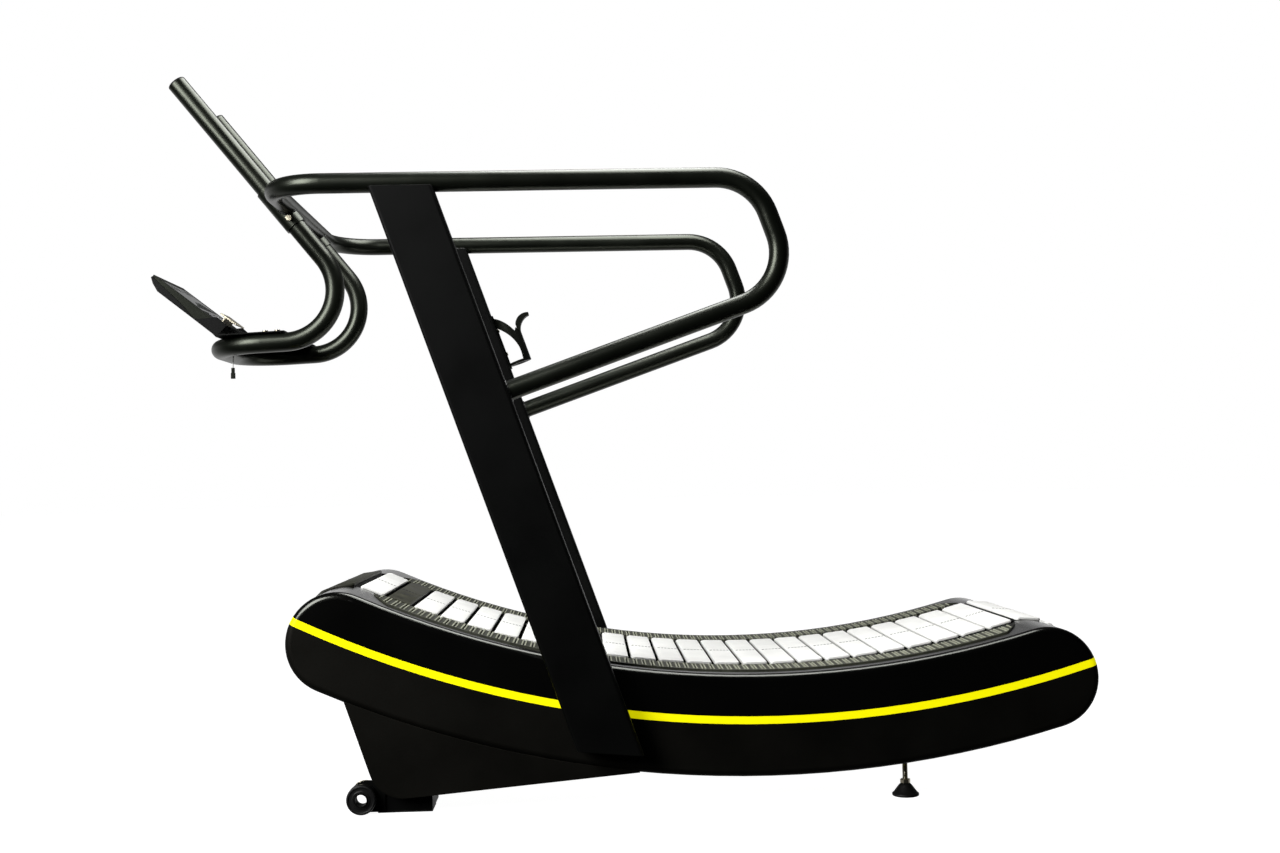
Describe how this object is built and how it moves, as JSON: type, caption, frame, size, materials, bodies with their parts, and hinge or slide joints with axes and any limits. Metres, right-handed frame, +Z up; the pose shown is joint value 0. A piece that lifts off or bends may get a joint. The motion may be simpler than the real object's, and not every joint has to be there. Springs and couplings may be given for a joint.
{
  "type": "curved manual treadmill",
  "caption": "Curved motorless treadmill: slatted belt on a concave bed, leaning uprights, looped handrails, push handles and a small console.",
  "frame": {"origin": "centre of the overall box, on the floor", "axes": "+X towards the rear of the bed, away from the console; +Y towards the right-hand handrail as the runner stands; +Z up"},
  "size_m": [2.0608, 0.89, 1.6104],
  "materials": {
    "frame_black": "satin powder coat, fine texture",
    "tube_black": "satin powder coat",
    "cover_gloss": "gloss",
    "cover_matt": "fine moulded grain",
    "stripe_yellow": "gloss",
    "slat_tread": "matt with a moulded dash line",
    "belt_rubber": "matt",
    "strip_rubber": "matt, ribbed",
    "bare_steel": "turned",
    "zinc_steel": "zinc plated",
    "foot_rubber": "matt",
    "wheel_rubber": "matt",
    "console_plastic": "fine grain",
    "screen_clear": "gloss",
    "circuit_board": "lacquered",
    "button_rubber": "matt",
    "lead_white": "satin",
    "magnet_metal": "polished"
  },
  "bodies": {
    "frame": {"side_beams": "frame_black", "bed_cross_tubes": "frame_black", "foot_rest_rails": "frame_black", "front_legs": "frame_black", "front_foot_beam": "frame_black", "front_feet": "frame_black", "front_foot_pads": "foot_rubber", "upright_left": "frame_black", "upright_right": "frame_black", "upright_outriggers": "frame_black", "upright_bolts": "zinc_steel", "upright_foot_plugs": "foot_rubber", "handrail_left": "tube_black", "handrail_right": "tube_black", "front_cross_tube": "tube_black", "handle_sleeves": "tube_black", "handle_set_screws": "zinc_steel", "push_handle_left": "tube_black", "push_handle_right": "tube_black", "handle_end_caps": "foot_rubber", "console_bracket": "frame_black", "bracket_screws": "zinc_steel", "console_cradle": "frame_black", "console_housing": "console_plastic", "console_screen": "screen_clear", "console_board": "circuit_board", "device_ledge": "zinc_steel", "sensor_lead": "lead_white", "sensor_lead_grommet": "foot_rubber", "sensor_lead_connector": "console_plastic", "bottle_cage": "console_plastic", "bottle_cage_screws": "zinc_steel", "side_covers_upper": "cover_gloss", "side_covers_lower": "cover_matt", "accent_stripes": "stripe_yellow", "foot_rest_strips": "strip_rubber", "base_skirts": "cover_matt", "base_front_panel": "cover_matt", "running_slats": "slat_tread", "drive_belts": "belt_rubber", "shaft_bearings": "bare_steel", "support_bearings": "bare_steel", "support_bolts": "zinc_steel", "wheel_brackets": "frame_black", "level_brackets": "frame_black", "speed_sensor": "console_plastic"},
    "front_drum": {"front_drum_shaft": "bare_steel", "front_pulleys": "belt_rubber", "sensor_magnet": "magnet_metal"},
    "rear_drum": {"rear_drum_shaft": "bare_steel", "rear_pulleys": "belt_rubber"},
    "wheel_left": {"transport_wheel_left": "wheel_rubber"},
    "wheel_right": {"transport_wheel_right": "wheel_rubber"},
    "level_foot_left": {"level_stem_left": "zinc_steel", "level_pad_left": "foot_rubber"},
    "level_foot_right": {"level_stem_right": "zinc_steel", "level_pad_right": "foot_rubber"},
    "button_1": {"console_button_1": "button_rubber"},
    "button_2": {"console_button_2": "button_rubber"},
    "button_3": {"console_button_3": "button_rubber"}
  },
  "joints": [
    {"name": "front_drum_spin", "type": "hinge", "parent": "frame", "child": "front_drum", "pos_m": [-0.581, 0, 0.3587], "axis": [0, 1, 0], "continuous": true},
    {"name": "rear_drum_spin", "type": "hinge", "parent": "frame", "child": "rear_drum", "pos_m": [0.916, 0, 0.2471], "axis": [0, 1, 0], "continuous": true},
    {"name": "transport_wheel_left_spin", "type": "hinge", "parent": "frame", "child": "wheel_left", "pos_m": [-0.536, -0.362, 0.033], "axis": [0, 1, 0], "continuous": true},
    {"name": "transport_wheel_right_spin", "type": "hinge", "parent": "frame", "child": "wheel_right", "pos_m": [-0.536, 0.362, 0.033], "axis": [0, 1, 0], "continuous": true},
    {"name": "level_foot_left_height", "type": "slide", "parent": "frame", "child": "level_foot_left", "axis": [0, 0, 1], "range_m": [-0.012, 0.02]},
    {"name": "level_foot_right_height", "type": "slide", "parent": "frame", "child": "level_foot_right", "axis": [0, 0, 1], "range_m": [-0.012, 0.02]},
    {"name": "button_1_press", "type": "slide", "parent": "frame", "child": "button_1", "axis": [-0.6184, 0, -0.7859], "range_m": [0, 0.0015], "stiffness_N_per_m": 400, "springref_m": -0.001},
    {"name": "button_2_press", "type": "slide", "parent": "frame", "child": "button_2", "axis": [-0.6184, 0, -0.7859], "range_m": [0, 0.0015], "stiffness_N_per_m": 400, "springref_m": -0.001},
    {"name": "button_3_press", "type": "slide", "parent": "frame", "child": "button_3", "axis": [-0.6184, 0, -0.7859], "range_m": [0, 0.0015], "stiffness_N_per_m": 400, "springref_m": -0.001}
  ],
  "couplings": [
    {"joint": "rear_drum_spin", "follows": "front_drum_spin", "ratio": 1}
  ]
}
